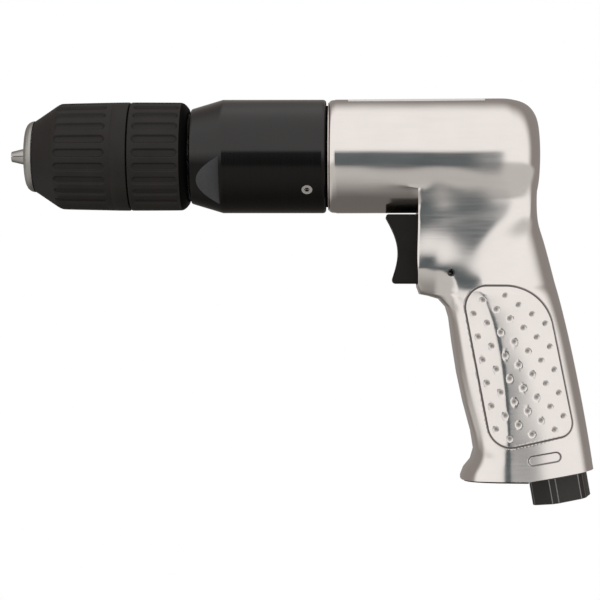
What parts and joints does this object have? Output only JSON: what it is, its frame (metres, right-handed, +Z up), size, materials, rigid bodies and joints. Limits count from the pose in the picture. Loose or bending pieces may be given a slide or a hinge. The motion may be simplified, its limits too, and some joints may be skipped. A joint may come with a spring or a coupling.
{
  "type": "pistol grip air drill",
  "caption": "Pistol grip pneumatic drill with a keyless jaw chuck, black gear case, cast aluminium motor housing, trigger throttle and hexagon air inlet under the handle.",
  "frame": {"origin": "on the spindle axis, in the plane of the chuck's nose face", "axes": "+X along the spindle axis from the chuck to the back of the barrel, +Z up with the handle hanging down, +Y across the drill"},
  "size_m": [0.2323, 0.0462, 0.1616],
  "materials": {
    "casting": "satin polished",
    "nameplate": "satin",
    "black_case": "gloss",
    "black_steel": "satin",
    "chuck_plastic": "matte",
    "trigger_plastic": "matte",
    "steel": "ground",
    "dark_steel": "satin",
    "brass": "turned",
    "rubber": "matte",
    "vane_plastic": "matte",
    "felt": "felt"
  },
  "bodies": {
    "housing": {"motor_housing": "casting", "nameplate": "nameplate", "gear_case": "black_case", "grease_plug": "steel", "spindle_bearing_outer": "steel", "spindle_seal": "rubber", "bearing_retaining_ring": "dark_steel", "ring_gear": "dark_steel", "motor_cylinder": "dark_steel", "front_end_plate": "dark_steel", "rear_end_plate": "dark_steel", "cylinder_dowel": "steel", "front_bearing_outer": "steel", "rear_bearing_outer": "steel", "trigger_pin": "dark_steel", "valve_seat": "brass", "valve_seat_seal": "rubber", "valve_spring": "steel", "inlet_bushing": "black_steel", "inlet_washer": "rubber", "inlet_screen": "brass", "muffler_pad": "felt", "exhaust_plate": "black_steel", "exhaust_plate_screws": "dark_steel"},
    "spindle": {"spindle": "steel", "chuck_body": "steel", "rear_sleeve": "chuck_plastic", "chuck_screw": "dark_steel", "nut_thrust_balls": "steel", "nut_thrust_washer": "steel", "spindle_bearing_inner": "steel", "spindle_bearing_balls": "steel", "planet_2_pins": "steel"},
    "sleeve": {"front_sleeve": "chuck_plastic", "chuck_nut": "dark_steel"},
    "jaw_a": {"jaw_1": "steel"},
    "jaw_b": {"jaw_2": "steel"},
    "jaw_c": {"jaw_3": "steel"},
    "gear_2a": {"planet_2a": "dark_steel"},
    "gear_2b": {"planet_2b": "dark_steel"},
    "gear_2c": {"planet_2c": "dark_steel"},
    "carrier": {"intermediate_carrier": "dark_steel", "planet_1_pins": "steel"},
    "gear_1a": {"planet_1a": "dark_steel"},
    "gear_1b": {"planet_1b": "dark_steel"},
    "gear_1c": {"planet_1c": "dark_steel"},
    "rotor": {"rotor": "steel", "vanes": "vane_plastic", "front_bearing_inner": "steel", "front_bearing_balls": "steel", "rear_bearing_inner": "steel", "rear_bearing_balls": "steel"},
    "trigger": {"trigger": "trigger_plastic"},
    "valve": {"throttle_valve": "brass"}
  },
  "joints": [
    {"name": "spindle_spin", "type": "hinge", "parent": "housing", "child": "spindle", "pos_m": [0, 0, 0], "axis": [1, 0, 0], "continuous": true},
    {"name": "carrier_spin", "type": "hinge", "parent": "housing", "child": "carrier", "pos_m": [0.098, 0, 0], "axis": [1, 0, 0], "continuous": true},
    {"name": "rotor_spin", "type": "hinge", "parent": "housing", "child": "rotor", "pos_m": [0.1445, 0, 0], "axis": [1, 0, 0], "continuous": true},
    {"name": "sleeve_turn", "type": "hinge", "parent": "spindle", "child": "sleeve", "pos_m": [0.022, 0, 0], "axis": [-1, 0, 0], "range_deg": [0, 2880]},
    {"name": "jaw_a_slide", "type": "slide", "parent": "spindle", "child": "jaw_a", "axis": [0.9659, -0.1294, 0.2241], "range_m": [0, 0.0221]},
    {"name": "jaw_b_slide", "type": "slide", "parent": "spindle", "child": "jaw_b", "axis": [0.9659, -0.1294, -0.2241], "range_m": [0, 0.0221]},
    {"name": "jaw_c_slide", "type": "slide", "parent": "spindle", "child": "jaw_c", "axis": [0.9659, 0.2588, 0], "range_m": [0, 0.0221]},
    {"name": "gear_2a_spin", "type": "hinge", "parent": "spindle", "child": "gear_2a", "pos_m": [0.0909, 0, -0.01013], "axis": [1, 0, 0], "continuous": true},
    {"name": "gear_1a_spin", "type": "hinge", "parent": "carrier", "child": "gear_1a", "pos_m": [0.1045, 0, -0.01013], "axis": [1, 0, 0], "continuous": true},
    {"name": "gear_2b_spin", "type": "hinge", "parent": "spindle", "child": "gear_2b", "pos_m": [0.0909, 0.00877, 0.00506], "axis": [1, 0, 0], "continuous": true},
    {"name": "gear_1b_spin", "type": "hinge", "parent": "carrier", "child": "gear_1b", "pos_m": [0.1045, 0.00877, 0.00506], "axis": [1, 0, 0], "continuous": true},
    {"name": "gear_2c_spin", "type": "hinge", "parent": "spindle", "child": "gear_2c", "pos_m": [0.0909, -0.00877, 0.00506], "axis": [1, 0, 0], "continuous": true},
    {"name": "gear_1c_spin", "type": "hinge", "parent": "carrier", "child": "gear_1c", "pos_m": [0.1045, -0.00877, 0.00506], "axis": [1, 0, 0], "continuous": true},
    {"name": "trigger_pull", "type": "slide", "parent": "housing", "child": "trigger", "axis": [1, 0, 0], "range_m": [0, 0.005], "stiffness_N_per_m": 1200, "springref_m": -0.006},
    {"name": "valve_slide", "type": "slide", "parent": "housing", "child": "valve", "axis": [1, 0, 0], "range_m": [0, 0.005], "deforming": ["valve_spring"]}
  ],
  "couplings": [
    {"joint": "carrier_spin", "follows": "spindle_spin", "ratio": 4.5},
    {"joint": "rotor_spin", "follows": "spindle_spin", "ratio": 20.25},
    {"joint": "jaw_a_slide", "follows": "sleeve_turn", "m_per_rad": 0.00043768},
    {"joint": "jaw_b_slide", "follows": "sleeve_turn", "m_per_rad": 0.00043768},
    {"joint": "jaw_c_slide", "follows": "sleeve_turn", "m_per_rad": 0.00043768},
    {"joint": "gear_2a_spin", "follows": "spindle_spin", "ratio": -2.8},
    {"joint": "gear_1a_spin", "follows": "spindle_spin", "ratio": -12.6},
    {"joint": "gear_2b_spin", "follows": "spindle_spin", "ratio": -2.8},
    {"joint": "gear_1b_spin", "follows": "spindle_spin", "ratio": -12.6},
    {"joint": "gear_2c_spin", "follows": "spindle_spin", "ratio": -2.8},
    {"joint": "gear_1c_spin", "follows": "spindle_spin", "ratio": -12.6},
    {"joint": "valve_slide", "follows": "trigger_pull", "ratio": 1}
  ]
}
